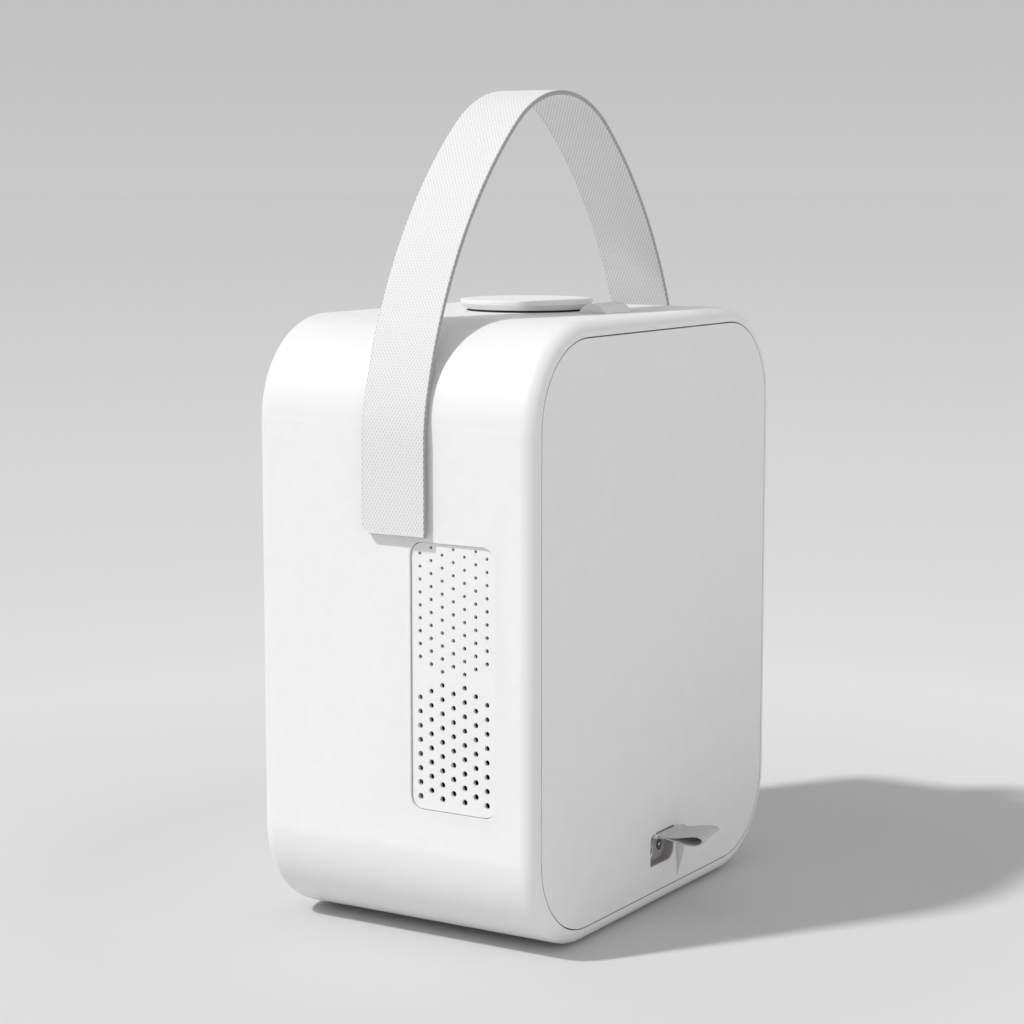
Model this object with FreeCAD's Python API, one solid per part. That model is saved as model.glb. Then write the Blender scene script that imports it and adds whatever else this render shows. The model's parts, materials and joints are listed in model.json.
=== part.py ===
import FreeCAD, Part
import math
import os

# Home projector: an upright rounded case with a webbing carry strap over it, a control
# dial and a rocker key on top, a perforated grille in each side and a port bay low in
# the back cover.  Inside, light rises from an LED through an LCD panel to a fold mirror
# and leaves through a focusing lens in the front cover.
#
# Frame: the origin is on the floor under the tripod socket, +Z is up, the lens looks
# towards -Y and the back cover faces +Y.  All sizes are in millimetres.  Heights below
# are above a datum under the floor, and each finished piece is moved down by FLOOR.

Vector = FreeCAD.Vector
AXES = {"X": Vector(1, 0, 0), "Y": Vector(0, 1, 0), "Z": Vector(0, 0, 1)}
ORIGIN = Vector(0, 0, 0)

# Case
CASE_W, CASE_D, CASE_H = 170.0, 107.5, 205.0
CASE_R = 34.0              # round corners seen from the front
END_R = 4.9                # rounding of the case's front and back edges
WALL = 2.5
FLOOR = 1.5                # height of the floor above the datum
FOOT_H = 1.0
CASE_BOTTOM = FLOOR + FOOT_H
CASE_TOP = CASE_BOTTOM + CASE_H
CASE_MID = CASE_BOTTOM + CASE_H / 2
BACK = CASE_D / 2          # outer face of the back cover; the front one is at -BACK
INNER_BACK = BACK - WALL
COVER_INSET = 5.0          # from the case's outline to the groove round each cover
COVER_GAP = 0.45
LIP_DEPTH = 6.0            # the sleeve's thick rim at each end
SKIRT_DEPTH = 8.5
HOOK_W = 10.0
FIT = 0.05                 # radial clearance of a running fit

# Feet and tripod socket
FOOT_X, FOOT_Y, FOOT_R = 44.0, 34.0, 7.0
FOOT_RECESS = 1.6
SOCKET_MOUTH = FLOOR + 0.5
SOCKET_BORE_R = 2.6        # minor radius of a 1/4-20 thread
SOCKET_DEPTH = 7.5
SOCKET_R = 4.5

# Grilles
GRILLE_Y, GRILLE_Z = 23.5, 93.25
GRILLE_W, GRILLE_H, GRILLE_R = 32.3, 88.0, 4.5
GRILLE_RECESS, GRILLE_T, GRILLE_GAP = 0.8, 1.2, 0.25
GRILLE_LEDGE = 1.6
HOLE_PITCH_Y = 4.24
# For each column, counted from the middle: how many pitches it is raised, and its holes
UPPER_HOLES = {"top": 133.5, "pitch": 4.22, "radii": (0.56, 0.72),
               "columns": ((0.5, 10), (0, 10), (0.5, 10), (0, 9))}
LOWER_HOLES = {"top": 86.4, "pitch": 4.69, "radii": (0.86, 1.04),
               "columns": ((0.5, 8), (1, 9), (0.5, 8), (0, 8))}
FAN_Z, SPEAKER_Z = 70.5, 116.0

# Strap
STRAP_Y, STRAP_W, STRAP_T = 2.85, 24.2, 1.8
STRAP_X, STRAP_BOTTOM, STRAP_TOP = 87.8, 139.0, 282.8   # outer face and ends of its line
STRAP_RADII = (72.0, 165.0)                             # first two arcs of the arch
STRAP_TURNS = (14.0, 50.0)                              # slope in degrees where each ends
STRAP_CHAMFER = 2.6
PIVOT_Z, PIVOT_R = 152.0, 6.0

# Dial and rocker key
DIAL_R, DIAL_NECK_R = 23.0, 21.0
DIAL_TOP = CASE_TOP + 4.0
DIAL_BOTTOM = CASE_TOP + 0.7
DIAL_RIM = 1.4             # height of the dial's upright edge, above its taper
SEAT_TOP = CASE_TOP + 0.3
DIAL_SHAFT_R, PLUNGER_R = 4.0, 8.0
ENCODER_Z = 192.0
KEY_Y, KEY_HALF_X, KEY_HALF_Y, KEY_PROUD = 31.3, 9.0, 5.2, 3.3
KEY_PIN_Z, KEY_BOTTOM = 199.0, 197.0

# Port bay and its soft cover
BAY_X0, BAY_X1, BAY_Z0, BAY_Z1 = -11.2, 6.1, 17.0, 28.6
BAY_LOW_R, BAY_TOP_R, BAY_TIGHT_R = 4.5, 2.9, 0.6  # lower -X, upper +X and other corners
BAY_FLOOR = BACK - 3.75
BAY_WALL = 1.2
LINER_T, LINER_TOP = 0.5, BACK - 0.5   # the tray's upper walls, inside the back cover
DC_X, DC_Z = -7.2, 21.9
DC_BORE_R, DC_PIN_R, DC_DEPTH = 2.1, 0.82, 9.0
AUDIO_X, AUDIO_Z = 0.4, 20.5
AUDIO_BORE_R, AUDIO_DEPTH = 1.8, 10.0
NOSE_R = 2.9               # both jacks' round noses
FLAP_X0, FLAP_X1 = -15.2, 2.0
FLAP_AXIS_Y, FLAP_AXIS_Z = BACK, 27.2
FLAP_LENGTH, FLAP_PLY = 15.1, 0.8  # from the hinge's axis to the loop's centre
LOOP_R, LOOP_RISE = 1.9, 0.2
BEAD_R, HINGE_PIN_R = 0.7, 0.4
BEAD_X0 = BAY_X0 + 0.15            # the bead fits between the hinge's ears
ROOT_GAP = 1.2                     # from the axis to the flap where it overhangs the cover
EAR_T = 1.0

# Light engine: vertical light path, then the lens along -Y
PATH_Y = 6.0
LENS_Z = 150.0
DUCT_W, DUCT_D = 72.0, 52.0
DUCT_BOTTOM, DUCT_TOP = 36.0, 120.0
DUCT_FRONT, DUCT_BACK = PATH_Y - DUCT_D / 2, PATH_Y + DUCT_D / 2
PILLAR_X = 40.0
CELL_R, CELL_BORE_R = 24.0, 21.0
LENS_TUBE_R = 27.0
CELL_FRONT, CELL_BACK = -47.0, -20.5
FLANGE_FRONT = -24.0

# Focus gears
GEAR_MODULE = 1.0
RING_TEETH, PINION_TEETH = 60, 15
GEAR_START, GEAR_END = -38.0, -34.0
PINION_ANGLE = math.radians(-135.0)
PRESSURE_ANGLE = math.radians(20.0)
TOOTH_BACKLASH = 0.12
TIP_HEIGHT, ROOT_DEPTH = 0.8, 1.25

# Boards
BOARD_T = 1.6
MAIN_BOARD_Y = 36.4
DRIVER_BOARD_Y = -44.0

# Fans and speakers
FAN_SIZE, FAN_T, FAN_FACE = 40.0, 10.0, 80.3
FAN_BORE_R, BLADE_TIP_R, HUB_R, BLADES = 19.0, 18.2, 8.0, 7


# --- Shapes along an axis; a and b are the other two coordinates, in X, Y, Z order ---

def place(axis, a, b, along):
    if axis == "X":
        return Vector(along, a, b)
    if axis == "Y":
        return Vector(a, along, b)
    return Vector(a, b, along)


def box(x0, x1, y0, y1, z0, z1):
    return Part.makeBox(x1 - x0, y1 - y0, z1 - z0, Vector(x0, y0, z0))


def rod(axis, a, b, radius, start, end):
    return Part.makeCylinder(radius, end - start, place(axis, a, b, start), AXES[axis])


def tube(axis, a, b, outer, inner, start, end):
    return rod(axis, a, b, outer, start, end).cut(rod(axis, a, b, inner, start, end))


def rounded_slab(axis, a, b, width, height, radius, start, end):
    corner = place(axis, a - width / 2, b - height / 2, start)
    size = place(axis, width, height, end - start)
    slab = Part.makeBox(size.x, size.y, size.z, corner)
    edges = [edge for edge in slab.Edges if abs(edge.Curve.Direction.dot(AXES[axis])) > 0.9]
    return slab.makeFillet(radius, edges)


def fuse(shapes):
    first, *rest = shapes
    return first.fuse(rest).removeSplitter() if rest else first


def group(shapes):
    """Separate solids kept in one node."""
    return Part.makeCompound(shapes)


def mirrored(shape):
    """The same piece on the case's other side."""
    return shape.mirror(ORIGIN, AXES["X"])


def turned(points):
    """Solid of revolution about Z from an outline of (radius, z) points."""
    wire = Part.makePolygon([Vector(r, 0, z) for r, z in points + points[:1]])
    return Part.Face(wire).revolve(ORIGIN, AXES["Z"], 360)


def flat_solid(points, axis, start, end):
    """Straight-sided outline of (a, b) points, extruded along an axis."""
    wire = Part.makePolygon([place(axis, a, b, start) for a, b in points + points[:1]])
    return Part.Face(wire).extrude(AXES[axis] * (end - start))


def edges_at_height(shape, z):
    return [edge for edge in shape.Edges
            if abs(edge.BoundBox.ZMin - z) < 1e-6 and abs(edge.BoundBox.ZMax - z) < 1e-6]


def screw(axis, a, b, head_start, head_end, tip, head_r, shank_r):
    """Head from head_start to head_end, with the shank running on to tip."""
    head = rod(axis, a, b, head_r, min(head_start, head_end), max(head_start, head_end))
    shank = rod(axis, a, b, shank_r, min(head_end, tip), max(head_end, tip))
    return fuse([head, shank])


# --- Case ---

def case_blank():
    blank = rounded_slab("Y", 0, CASE_MID, CASE_W, CASE_H, CASE_R, -BACK, BACK)
    ends = [edge for edge in blank.Edges if edge.BoundBox.YLength < 1e-6]
    return blank.makeFillet(END_R, ends)


def case_inset(inset, start, end):
    """The case's outline moved inwards, as a slab between two depths."""
    return rounded_slab("Y", 0, CASE_MID, CASE_W - 2 * inset, CASE_H - 2 * inset,
                        CASE_R - inset, start, end)


def foot_places():
    return [(x, y) for x in (-FOOT_X, FOOT_X) for y in (-FOOT_Y, FOOT_Y)]


def grille_slab(grow, start, end):
    return rounded_slab("X", GRILLE_Y, GRILLE_Z, GRILLE_W + 2 * grow, GRILLE_H + 2 * grow,
                        GRILLE_R + grow, start, end)


def both_sides(shape):
    return [shape, mirrored(shape)]


def encoder_posts():
    return [(x, 0.0) for x in (-17.0, 17.0)]


def rocker_posts():
    return [(x, KEY_Y) for x in (-15.5, 15.5)]


def mid_sleeve():
    sleeve = case_blank()
    sleeve = sleeve.cut(case_inset(WALL, -BACK + LIP_DEPTH, BACK - LIP_DEPTH))
    sleeve = sleeve.cut(case_inset(COVER_INSET, -BACK - 1, BACK + 1))
    side = CASE_W / 2
    window_frame = grille_slab(3.5, side - WALL - 2, side - WALL)
    top_posts = [tube("Z", x, y, 2.5, 1.0, ENCODER_Z, CASE_TOP - WALL) for x, y in encoder_posts()]
    key_posts = [tube("Z", x, y, 2.2, 1.0, ENCODER_Z, CASE_TOP - WALL) for x, y in rocker_posts()]
    socket_boss = rod("Z", 0, 0, 11.0, SOCKET_MOUTH, CASE_BOTTOM)
    socket_column = rod("Z", 0, 0, 7.0, CASE_BOTTOM + WALL, SOCKET_MOUTH + SOCKET_DEPTH + 2.0)
    sleeve = sleeve.fuse(both_sides(window_frame) + top_posts + key_posts
                         + [socket_boss, socket_column])
    recess = grille_slab(0, side - GRILLE_RECESS - GRILLE_T, side + 1)
    window = grille_slab(-GRILLE_LEDGE, side - 10, side)
    pivot_hole = rod("X", STRAP_Y, PIVOT_Z, PIVOT_R + 2, side - 10, side + 1)
    cuts = both_sides(recess) + both_sides(window) + both_sides(pivot_hole)
    cuts += [rod("Z", x, y, FOOT_R, 0, CASE_BOTTOM + FOOT_RECESS) for x, y in foot_places()]
    cuts += [rod("Z", x, y, 1.6, 0, 10) for x, y in foot_places()]
    cuts.append(rod("Z", 0, 0, SOCKET_R, 0, CASE_BOTTOM + 20))
    cuts.append(rod("Z", 0, 0, 11.0, CASE_TOP - 10, CASE_TOP + 1))
    cuts.append(box(-KEY_HALF_X - 0.7, KEY_HALF_X + 0.7, KEY_Y - KEY_HALF_Y - 0.3,
                    KEY_Y + KEY_HALF_Y + 0.3, CASE_TOP - 10, CASE_TOP + 1))
    return sleeve.cut(cuts).removeSplitter()


def hook(x, z, along_x):
    """Snap hook outside the back cover's skirt, behind the sleeve's lip."""
    half = HOOK_W / 2
    y0, y1 = BACK - SKIRT_DEPTH, BACK - LIP_DEPTH - 0.3
    reach = 1.0
    if along_x:
        return box(x - half, x + half, y0, y1, z - reach, z + reach)
    return box(x - reach, x + reach, y0, y1, z - half, z + half)


def cover_blank():
    """Back cover: outer plate, skirt and snap hooks, before its openings."""
    plate = case_blank().common(case_inset(COVER_INSET + COVER_GAP, INNER_BACK, BACK + 1))
    skirt_inset, skirt_t = COVER_INSET + 1.2, 1.5
    skirt = case_inset(skirt_inset, BACK - SKIRT_DEPTH, INNER_BACK)
    skirt = skirt.cut(case_inset(skirt_inset + skirt_t, BACK - SKIRT_DEPTH - 1, INNER_BACK))
    side = CASE_W / 2 - skirt_inset
    top, bottom = CASE_TOP - skirt_inset, CASE_BOTTOM + skirt_inset
    hooks = [hook(x, z, True) for x in (-30.0, 30.0) for z in (bottom, top)]
    hooks += [hook(x, CASE_MID + z, False) for x in (-side, side) for z in (-45.0, 45.0)]
    return fuse([plate, skirt] + hooks)


def main_board_posts():
    return [(x, z) for x in (-53.0, 53.0) for z in (19.0, 105.0)]


def driver_board_posts():
    return [(x, z) for x in (-40.0, 40.0) for z in (25.0, 90.0)]


def back_cover():
    posts = [tube("Y", x, z, 3.0, 1.0, MAIN_BOARD_Y + BOARD_T, INNER_BACK)
             for x, z in main_board_posts()]
    opening = bay_slab(0, INNER_BACK - 1, BACK + 1)
    liner_seat = bay_slab(LINER_T, INNER_BACK - 1, LINER_TOP)
    return fuse([cover_blank()] + posts).cut([opening, liner_seat, side_ear()])


def front_cover():
    cover = cover_blank().mirror(ORIGIN, AXES["Y"])
    posts = [tube("Y", x, z, 3.0, 1.0, -INNER_BACK, DRIVER_BOARD_Y) for x, z in driver_board_posts()]
    cover = fuse([cover] + posts)
    lens_hole = rod("Y", 0, LENS_Z, 29.0, -BACK - 1, -INNER_BACK + 1)
    window_hole = rod("Y", 0, 106.0, 3.5, -BACK - 1, -INNER_BACK + 1)
    return cover.cut([lens_hole, window_hole])


def hole_places():
    """Two blocks of staggered holes, which grow towards the bottom: (y, z, radius)."""
    places = []
    for block in (UPPER_HOLES, LOWER_HOLES):
        small_r, large_r = block["radii"]
        for column in range(-3, 4):
            raised, rows = block["columns"][abs(column)]
            for row in range(rows):
                radius = small_r + (large_r - small_r) * row / rows
                z = block["top"] + (raised - row) * block["pitch"]
                places.append((GRILLE_Y + column * HOLE_PITCH_Y, z, radius))
    return places


def side_grille():
    outer = CASE_W / 2 - GRILLE_RECESS
    plate = grille_slab(-GRILLE_GAP, outer - GRILLE_T, outer)
    holes = [rod("X", y, z, radius, outer - 3, outer + 1) for y, z, radius in hole_places()]
    return plate.cut(holes)


def rubber_feet():
    """Pads that cover the base screws' heads."""
    feet = []
    for x, y in foot_places():
        foot = rod("Z", x, y, FOOT_R - 0.1, FLOOR, CASE_BOTTOM + FOOT_RECESS)
        foot = foot.makeFillet(0.6, edges_at_height(foot, FLOOR))
        feet.append(foot.cut(rod("Z", x, y, 3.2, CASE_BOTTOM - 0.1, 10)))
    return group(feet)


def tripod_bush():
    top = SOCKET_MOUTH + SOCKET_DEPTH
    bush = rod("Z", 0, 0, SOCKET_R, SOCKET_MOUTH, top + 1.5)
    return bush.cut(rod("Z", 0, 0, SOCKET_BORE_R, 0, top))


def base_frame():
    """Tray above the case's bottom, with bosses for the base screws and engine pillars."""
    tray = rounded_slab("Z", 0, 0, 100.0, 80.0, 8.0, 7.5, 10.0)
    bosses = [rod("Z", x, y, 4.0, CASE_BOTTOM + WALL, 11.5) for x, y in foot_places()]
    pillars = [rod("Z", x, y, 3.5, 7.5, DUCT_BOTTOM) for x, y in pillar_places()]
    cuts = [rod("Z", x, y, 1.5, 0, 11.0) for x, y in foot_places()]
    cuts += [rod("Z", x, y, 1.25, 22.0, DUCT_BOTTOM + 1) for x, y in pillar_places()]
    cuts.append(rod("Z", 0, 0, 8.0, 0, 20))
    return fuse([tray] + bosses + pillars).cut(cuts)


def base_screws():
    head_top = CASE_BOTTOM + FOOT_RECESS
    return group([screw("Z", x, y, head_top - 1.6, head_top, 10.5, 2.8, 1.45) for x, y in foot_places()])


# --- Carry strap ---

def strap_arcs():
    """Arcs of the arch's right half as (centre x, centre z, outer radius, start, end angle)."""
    first_turn, second_turn = (math.radians(turn) for turn in STRAP_TURNS)
    first_r, second_r = STRAP_RADII
    reach = first_r * (1 - math.cos(first_turn))
    reach += second_r * (math.cos(first_turn) - math.cos(second_turn))
    radii = (first_r, second_r, (STRAP_X - reach) / math.cos(second_turn))
    angles = (0.0, first_turn, second_turn, math.pi / 2)
    rise = sum(radius * (math.sin(angles[i + 1]) - math.sin(angles[i]))
               for i, radius in enumerate(radii))
    x, z = STRAP_X, STRAP_TOP - rise
    arcs = []
    for i, radius in enumerate(radii):
        centre_x = x - radius * math.cos(angles[i])
        centre_z = z - radius * math.sin(angles[i])
        arcs.append((centre_x, centre_z, radius, angles[i], angles[i + 1]))
        x = centre_x + radius * math.cos(angles[i + 1])
        z = centre_z + radius * math.sin(angles[i + 1])
    return arcs


def strap_line(offset, y):
    """Edges of one face of the strap, from the right end over the top to the left end."""
    def point(arc, angle):
        centre_x, centre_z, radius = arc[:3]
        return Vector(centre_x + (radius - offset) * math.cos(angle), y,
                      centre_z + (radius - offset) * math.sin(angle))

    arcs = strap_arcs()
    leg_top = point(arcs[0], arcs[0][3])
    right = [Part.LineSegment(Vector(leg_top.x, y, STRAP_BOTTOM), leg_top).toShape()]
    for arc in arcs:
        start, end = arc[3:]
        points = [point(arc, angle) for angle in (start, (start + end) / 2, end)]
        right.append(Part.Arc(*points).toShape())
    left = [edge.mirror(ORIGIN, AXES["X"]) for edge in reversed(right)]
    return right + left


def carry_strap():
    y = STRAP_Y - STRAP_W / 2
    outer, inner = strap_line(0, y), strap_line(STRAP_T, y)
    ends = []
    for x in (STRAP_X, -STRAP_X):
        inner_x = x - math.copysign(STRAP_T, x)
        end = Part.LineSegment(Vector(x, y, STRAP_BOTTOM), Vector(inner_x, y, STRAP_BOTTOM))
        ends.append(end.toShape())
    wire = Part.Wire(Part.__sortEdges__(outer + inner + ends))
    strap = Part.Face(wire).extrude(AXES["Y"] * STRAP_W)
    corner = [(y - 1, STRAP_BOTTOM - 1), (y + STRAP_CHAMFER, STRAP_BOTTOM - 1),
              (y - 1, STRAP_BOTTOM + STRAP_CHAMFER)]
    return strap.cut(flat_solid(corner, "X", -STRAP_X - 1, STRAP_X + 1))


def strap_anchor():
    """Plate stitched behind the strap's end, with the pivot that passes through the wall."""
    outer = STRAP_X - STRAP_T
    plate = rounded_slab("X", STRAP_Y, PIVOT_Z, 18.0, 22.0, 3.0, outer - 0.6, outer)
    pivot = rod("X", STRAP_Y, PIVOT_Z, PIVOT_R, 79.9, outer - 0.6)
    return fuse([plate, pivot]).cut(rod("X", STRAP_Y, PIVOT_Z, 1.5, 70, 84.5))


def anchor_bush():
    """Flanged bearing for the pivot, seated in the side wall from inside."""
    inner_wall = CASE_W / 2 - WALL
    sleeve = rod("X", STRAP_Y, PIVOT_Z, PIVOT_R + 2, inner_wall - 2, CASE_W / 2)
    flange = rod("X", STRAP_Y, PIVOT_Z, PIVOT_R + 4, inner_wall - 2, inner_wall)
    return fuse([sleeve, flange]).cut(rod("X", STRAP_Y, PIVOT_Z, PIVOT_R + FIT, 70, 90))


def anchor_screw():
    """Screw and wide washer that keep the pivot from pulling out of its bush."""
    washer = tube("X", STRAP_Y, PIVOT_Z, 9.0, 1.5, 78.7, 79.9)
    fixing = screw("X", STRAP_Y, PIVOT_Z, 76.2, 78.7, 84.0, 3.5, 1.45)
    return [washer, fixing]


def anchor_screws():
    return group([side for piece in anchor_screw() for side in both_sides(piece)])


# --- Dial on top ---

def control_dial():
    step = 0.35
    profile = [(0, DIAL_TOP), (DIAL_R - step, DIAL_TOP), (DIAL_R, DIAL_TOP - step),
               (DIAL_R, DIAL_TOP - DIAL_RIM), (DIAL_NECK_R, DIAL_BOTTOM),
               (DIAL_SHAFT_R, DIAL_BOTTOM), (DIAL_SHAFT_R, DIAL_TOP - 1.5), (0, DIAL_TOP - 1.5)]
    return turned(profile)


def dial_seat():
    """Black ring under the dial, with the collar that guides the plunger."""
    flange = rod("Z", 0, 0, DIAL_NECK_R - 0.2, CASE_TOP, SEAT_TOP)
    collar = rod("Z", 0, 0, 11.0, 200.2, CASE_TOP)
    return fuse([flange, collar]).cut(rod("Z", 0, 0, PLUNGER_R + FIT, 190, 220))


def dial_plunger():
    """Guide tube that moves down with the dial but doesn't turn."""
    guide = rod("Z", 0, 0, PLUNGER_R, 198.5, DIAL_BOTTOM - 0.2)
    flange = rod("Z", 0, 0, 9.6, 198.5, 199.5)
    return fuse([guide, flange]).cut(rod("Z", 0, 0, DIAL_SHAFT_R + FIT, 190, 220))


def dial_shaft():
    shaft = rod("Z", 0, 0, DIAL_SHAFT_R, 197.2, DIAL_TOP - 1.5)
    clip = rod("Z", 0, 0, 5.6, 197.2, 198.2)
    tip = rod("Z", 0, 0, 3.0, 194.4, 197.2)
    return fuse([shaft, clip, tip])


def dial_spring():
    """Four turns between the encoder board and the plunger's flange."""
    wire_r, coil_r, turns = 0.35, 7.6, 4
    bottom, top = ENCODER_Z + wire_r, 198.4 - wire_r
    path = Part.makeHelix((top - bottom) / turns, top - bottom, coil_r)
    section = Part.Wire(Part.makeCircle(wire_r, Vector(coil_r, 0, 0), AXES["Y"]))
    coil = Part.Wire(path.Edges).makePipeShell([section], True, True)
    coil.translate(Vector(0, 0, bottom))
    return coil


def encoder_unit():
    board = rounded_slab("Z", 0, 0, 42.0, 24.0, 2.0, ENCODER_Z - BOARD_T, ENCODER_Z)
    holes = [rod("Z", x, y, 1.1, 180, 200) for x, y in encoder_posts()]
    can = rod("Z", 0, 0, 6.0, ENCODER_Z, 196.2).cut(rod("Z", 0, 0, 3.0 + FIT, 193.2, 200))
    return fuse([board.cut(holes), can])


# --- Rocker key behind the dial ---

def rocker_key():
    """Half-round bar above the case, on a block that tilts about its pin."""
    radius = (KEY_HALF_Y ** 2 + KEY_PROUD ** 2) / (2 * KEY_PROUD)
    bar = rod("X", KEY_Y, CASE_TOP + KEY_PROUD - radius, radius, -KEY_HALF_X, KEY_HALF_X)
    y0, y1 = KEY_Y - KEY_HALF_Y, KEY_Y + KEY_HALF_Y
    crown = bar.common(box(-20, 20, y0, y1, CASE_TOP - 1, CASE_TOP + 10))
    block = box(-KEY_HALF_X, KEY_HALF_X, y0, y1, KEY_BOTTOM, CASE_TOP - 1)
    return fuse([crown, block]).cut(rod("Y", 0, KEY_PIN_Z, 1.0 + FIT, y0 - 1, y1 + 1))


def rocker_bracket():
    """Base plate with two ears for the pin and the two switches under the key."""
    plate = rounded_slab("Z", 0, KEY_Y, 36.0, 15.0, 2.0, ENCODER_Z - 2, ENCODER_Z)
    plate = plate.cut([rod("Z", x, y, 1.1, 180, 200) for x, y in rocker_posts()])
    ears = [box(-3.5, 3.5, y, y + 1.2, ENCODER_Z, 201.5) for y in (KEY_Y - 6.7, KEY_Y + 5.5)]
    switches = [box(x - 3, x + 3, KEY_Y - 3, KEY_Y + 3, ENCODER_Z, 195.4) for x in (-6.5, 6.5)]
    return fuse([plate] + ears + switches).cut(rod("Y", 0, KEY_PIN_Z, 1.0, 20, 45))


def rocker_pin():
    return rod("Y", 0, KEY_PIN_Z, 1.0, KEY_Y - 6.7, KEY_Y + 6.7)


# --- Port bay ---

def bay_slab(grow, start, end):
    """The opening's outline, grown all round, between two depths."""
    x0, x1, z0, z1 = BAY_X0 - grow, BAY_X1 + grow, BAY_Z0 - grow, BAY_Z1 + grow
    slab = box(x0, x1, start, end, z0, z1)
    corners = ((x0, z0, BAY_LOW_R), (x1, z1, BAY_TOP_R), (x0, z1, BAY_TIGHT_R), (x1, z0, BAY_TIGHT_R))
    for x, z, radius in corners:
        middle = Vector(x, (start + end) / 2, z)
        edges = [edge for edge in slab.Edges
                 if edge.BoundBox.Center.distanceToPoint(middle) < 1e-6]
        slab = slab.makeFillet(radius + grow, edges)
    return slab


def port_bay():
    """Tray behind the back cover's opening, with a hole for each jack."""
    rim = bay_slab(BAY_WALL, BAY_FLOOR - BAY_WALL, INNER_BACK)
    rim = rim.fuse(bay_slab(LINER_T, INNER_BACK, LINER_TOP))
    pocket = bay_slab(0, BAY_FLOOR, BACK)
    dc_hole = rod("Y", DC_X, DC_Z, NOSE_R + FIT, 40, BACK)
    audio_hole = rod("Y", AUDIO_X, AUDIO_Z, NOSE_R + FIT, 40, BACK)
    return rim.cut([pocket, dc_hole, audio_hole])


def jack(x, z, half_w, bore_r, bore_depth):
    """Jack on the main board, with its nose flush with the bay's floor."""
    board_face = MAIN_BOARD_Y + BOARD_T
    nose_start = BAY_FLOOR - BAY_WALL - 0.1
    body = box(x - half_w, x + half_w, board_face, nose_start, z - 5, z + 5)
    nose = rod("Y", x, z, NOSE_R, nose_start, BAY_FLOOR)
    bore = rod("Y", x, z, bore_r, BAY_FLOOR - bore_depth, BAY_FLOOR + 1)
    return fuse([body, nose]).cut(bore)


def dc_jack():
    return jack(DC_X, DC_Z, 3.8, DC_BORE_R, DC_DEPTH)


def dc_pin():
    tip = BAY_FLOOR + 0.3
    pin = rod("Y", DC_X, DC_Z, DC_PIN_R, BAY_FLOOR - DC_DEPTH, tip)
    return pin.makeFillet(0.4, [edge for edge in pin.Edges if edge.BoundBox.YMin > tip - 0.1])


def audio_jack():
    return jack(AUDIO_X, AUDIO_Z, 3.4, AUDIO_BORE_R, AUDIO_DEPTH)


def port_cover():
    """Soft cover: two plies that leave the hinge bead together and meet in a round loop."""
    def wedge(start_u, start_low, start_high, radius):
        corners = [Vector(0, start_u, start_low), Vector(0, FLAP_LENGTH, LOOP_RISE - radius),
                   Vector(0, FLAP_LENGTH + radius, LOOP_RISE),
                   Vector(0, FLAP_LENGTH, LOOP_RISE + radius), Vector(0, start_u, start_high)]
        edges = [Part.LineSegment(corners[0], corners[1]).toShape(),
                 Part.Arc(corners[1], corners[2], corners[3]).toShape(),
                 Part.LineSegment(corners[3], corners[4]).toShape(),
                 Part.LineSegment(corners[4], corners[0]).toShape()]
        solid = Part.Face(Part.Wire(edges)).extrude(AXES["X"] * (FLAP_X1 - FLAP_X0))
        solid.translate(Vector(FLAP_X0, FLAP_AXIS_Y, FLAP_AXIS_Z))
        return solid

    plies = wedge(0, -BEAD_R, BEAD_R, LOOP_R)
    root = box(FLAP_X0 - 1, BEAD_X0, FLAP_AXIS_Y - 1, FLAP_AXIS_Y + ROOT_GAP,
               FLAP_AXIS_Z - 2, FLAP_AXIS_Z + 2)
    bead = rod("X", FLAP_AXIS_Y, FLAP_AXIS_Z, BEAD_R, BEAD_X0, FLAP_X1)
    hollow = wedge(4.0, -0.2, 0.1, LOOP_R - FLAP_PLY)
    bore = rod("X", FLAP_AXIS_Y, FLAP_AXIS_Z, HINGE_PIN_R + FIT, BEAD_X0 - 1, FLAP_X1 + 1)
    return fuse([plies.cut(root), bead]).cut([hollow, bore])


def side_ear():
    """Ear let into the cover beside the opening; it stands out as far as the bead does."""
    return box(BAY_X0 - EAR_T, BAY_X0, LINER_TOP, FLAP_AXIS_Y + BEAD_R,
               FLAP_AXIS_Z - BEAD_R, FLAP_AXIS_Z + BEAD_R)


def cover_hinge():
    """Pin across the top of the opening, between one ear in it and one beside it."""
    x0, x1 = FLAP_X1 + 0.15, FLAP_X1 + 0.15 + EAR_T
    inner_ear = rod("X", FLAP_AXIS_Y, FLAP_AXIS_Z, BEAD_R, x0, x1)
    root = box(x0, x1, INNER_BACK, BACK, FLAP_AXIS_Z, BAY_Z1)
    pin = rod("X", FLAP_AXIS_Y, FLAP_AXIS_Z, HINGE_PIN_R, BAY_X0 - EAR_T, x1)
    return fuse([side_ear(), inner_ear, root, pin])


def cover_tether():
    """Tapered rubber leaf on the back cover beside the opening, pointed downwards."""
    leaf = [(-12.9, 24.0), (-12.9, 21.6), (-13.3, 15.3), (-13.5, 9.8), (-14.1, 9.8),
            (-15.2, 12.4), (-17.0, 14.8), (-19.0, 19.2), (-19.3, 24.0)]
    return flat_solid(leaf, "Y", BACK, BACK + 0.7)


# --- Boards ---

def main_board():
    """Board on the back cover's posts; its chips and connector face the light engine."""
    front = MAIN_BOARD_Y
    board = rounded_slab("Y", 0, 62.0, 116.0, 100.0, 3.0, front, front + BOARD_T)
    board = board.cut([rod("Y", x, z, 1.1, 30, 45) for x, z in main_board_posts()])
    chips = [box(-46, -28, front - 1.4, front, 78, 96), box(28, 46, front - 1.4, front, 70, 84),
             box(-52, -32, front - 2.6, front, 34, 52), box(30, 52, front - 3.0, front, 30, 46)]
    connector = box(-12, 12, front - 2.4, front, 50, 55.8)
    return fuse([board] + chips + [connector])


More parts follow.
